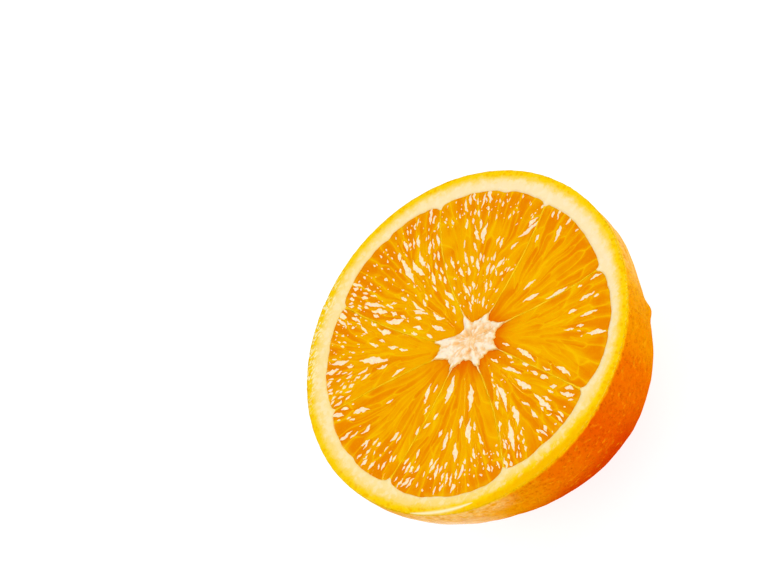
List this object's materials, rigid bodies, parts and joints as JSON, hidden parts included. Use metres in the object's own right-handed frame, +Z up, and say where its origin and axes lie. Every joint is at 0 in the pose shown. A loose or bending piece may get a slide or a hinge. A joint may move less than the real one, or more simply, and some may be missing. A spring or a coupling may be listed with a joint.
{
  "type": "orange half",
  "caption": "Half of a sweet orange, cut across its middle and resting on its round end with the juicy cut face up.",
  "frame": {"origin": "middle of the flat spot on the round end that the half rests on", "axes": "+Z up, out of the cut face; -Y is the side of the skin that shows best"},
  "size_m": [0.078, 0.078, 0.0403],
  "materials": {
    "pulp": "wet translucent juice sacs, deep orange to golden yellow",
    "peel": "waxy pored orange skin, redder towards its round end",
    "rind": "spongy cream pith that turns to yellow zest at the skin",
    "membrane": "thin wet golden skin between the segments",
    "core": "spongy cream white core"
  },
  "bodies": {
    "root": {"orange_half": "pulp"}
  },
  "joints": []
}
